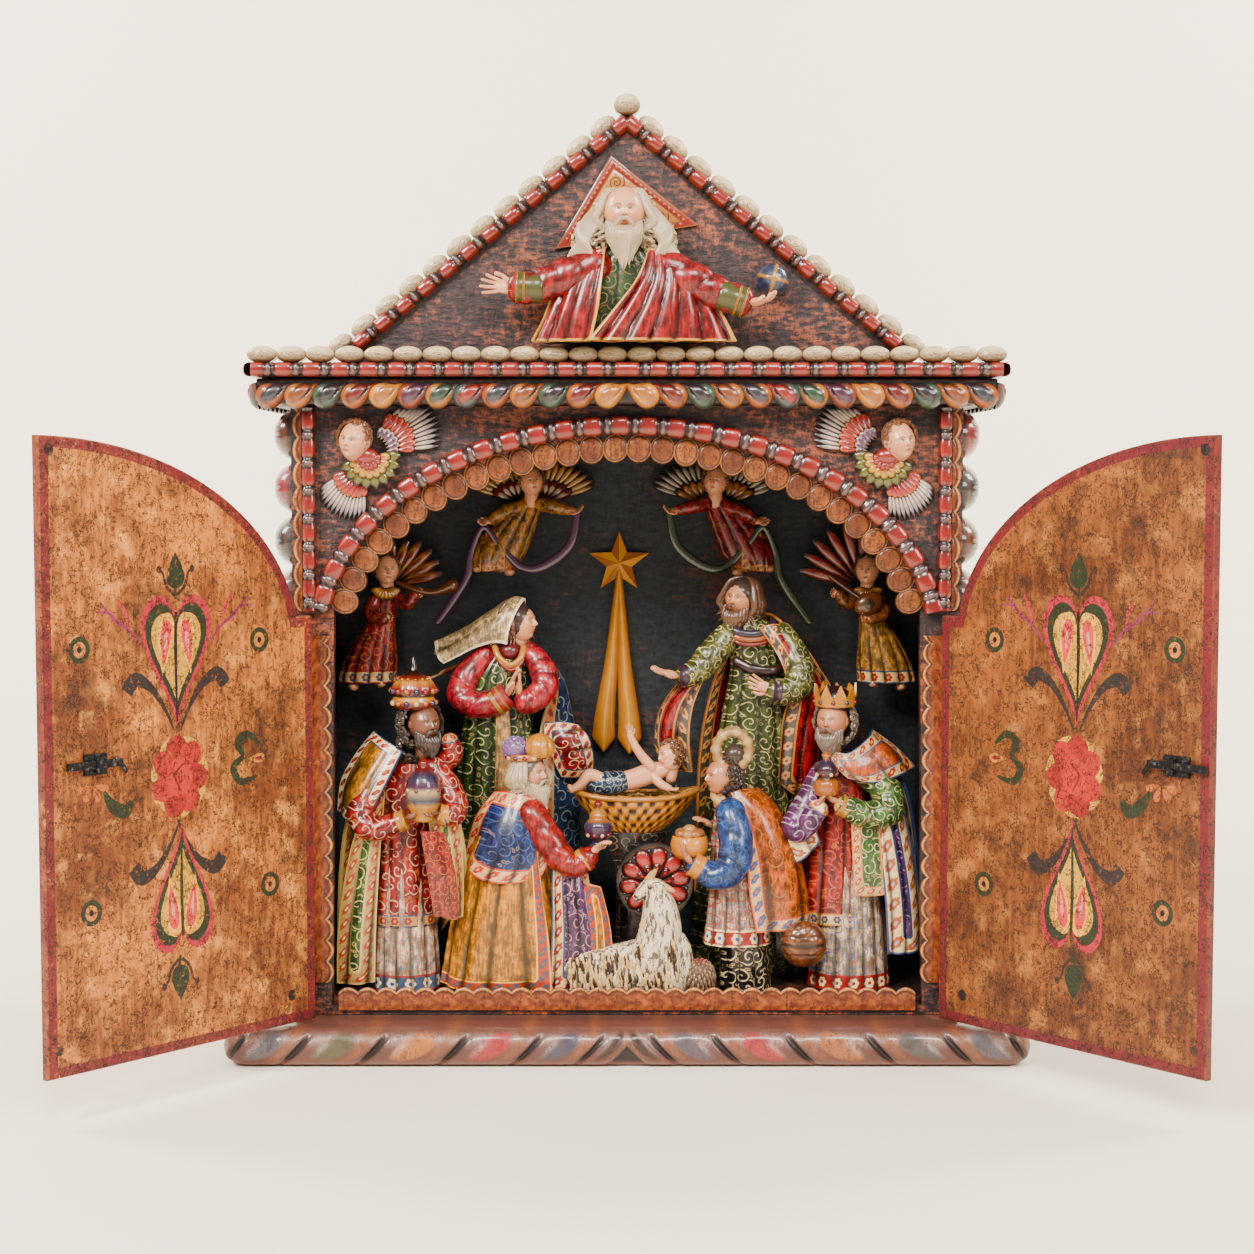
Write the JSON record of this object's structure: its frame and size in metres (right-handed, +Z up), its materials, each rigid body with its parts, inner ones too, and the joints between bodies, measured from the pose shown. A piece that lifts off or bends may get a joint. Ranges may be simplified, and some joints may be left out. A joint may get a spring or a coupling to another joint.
{
  "type": "folding shrine box",
  "caption": "Gabled wooden shrine box on a carved base, with two hinged arch-topped doors and a carved nativity group inside.",
  "frame": {"origin": "centre of the base's underside", "axes": "+Z up, -Y out of the open front, +X to the viewer's right"},
  "size_m": [0.6044, 0.3121, 0.5504],
  "materials": {
    "base_wood": "waxed purple-brown, worn",
    "dark_wood": "dark stain rubbed through to rust",
    "tan_wood": "golden stain, scratched",
    "gold_wood": "orange-gold stain",
    "striped_paint": "striped gloss paint",
    "cream_paint": "antique cream and gold paint",
    "slate_paint": "matte slate paint",
    "figure_paint": "many-coloured varnished paint",
    "iron": "black forged iron"
  },
  "bodies": {
    "cabinet": {"base_plinth": "base_wood", "floor_board": "dark_wood", "top_board": "dark_wood", "back_panel": "slate_paint", "front_board": "dark_wood", "arch_rail": "striped_paint", "arch_scallops": "gold_wood", "sill_strip": "gold_wood", "cornice_gadroons": "dark_wood", "cornice_rail": "striped_paint", "cornice_beading": "cream_paint", "gable_board": "dark_wood", "gable_rail": "striped_paint", "gable_beading": "cream_paint", "halo_triangle": "figure_paint", "god_the_father": "figure_paint", "globe": "figure_paint", "star": "figure_paint", "side_wall_left": "dark_wood", "post_rail_left": "striped_paint", "edge_scallops_left": "gold_wood", "jamb_strip_left": "gold_wood", "cherub_left": "figure_paint", "ribbon_angel_left": "figure_paint", "music_angel_left": "figure_paint", "hinge_left_upper_case_leaf": "iron", "hinge_left_lower_case_leaf": "iron", "side_wall_right": "dark_wood", "post_rail_right": "striped_paint", "edge_scallops_right": "gold_wood", "jamb_strip_right": "gold_wood", "cherub_right": "figure_paint", "ribbon_angel_right": "figure_paint", "music_angel_right": "figure_paint", "hinge_right_upper_case_leaf": "iron", "hinge_right_lower_case_leaf": "iron", "mary": "figure_paint", "joseph": "figure_paint", "child": "figure_paint", "manger": "figure_paint", "king_standing": "figure_paint", "king_kneeling": "figure_paint", "king_crowned": "figure_paint", "shepherd": "figure_paint", "gourd": "figure_paint", "llama": "figure_paint", "rosette_panel": "figure_paint", "brown_bundle": "figure_paint"},
    "door_left": {"door_left_panel": "tan_wood", "door_left_latch": "iron", "hinge_left_upper_door_leaf": "iron", "hinge_left_lower_door_leaf": "iron"},
    "door_right": {"door_right_panel": "tan_wood", "door_right_latch": "iron", "hinge_right_upper_door_leaf": "iron", "hinge_right_lower_door_leaf": "iron"}
  },
  "joints": [
    {"name": "door_left_hinge", "type": "hinge", "parent": "cabinet", "child": "door_left", "pos_m": [-0.184, -0.075, 0.19], "axis": [0, 0, 1], "range_deg": [-40, 131]},
    {"name": "door_right_hinge", "type": "hinge", "parent": "cabinet", "child": "door_right", "pos_m": [0.184, -0.075, 0.19], "axis": [0, 0, 1], "range_deg": [-131, 40]}
  ]
}
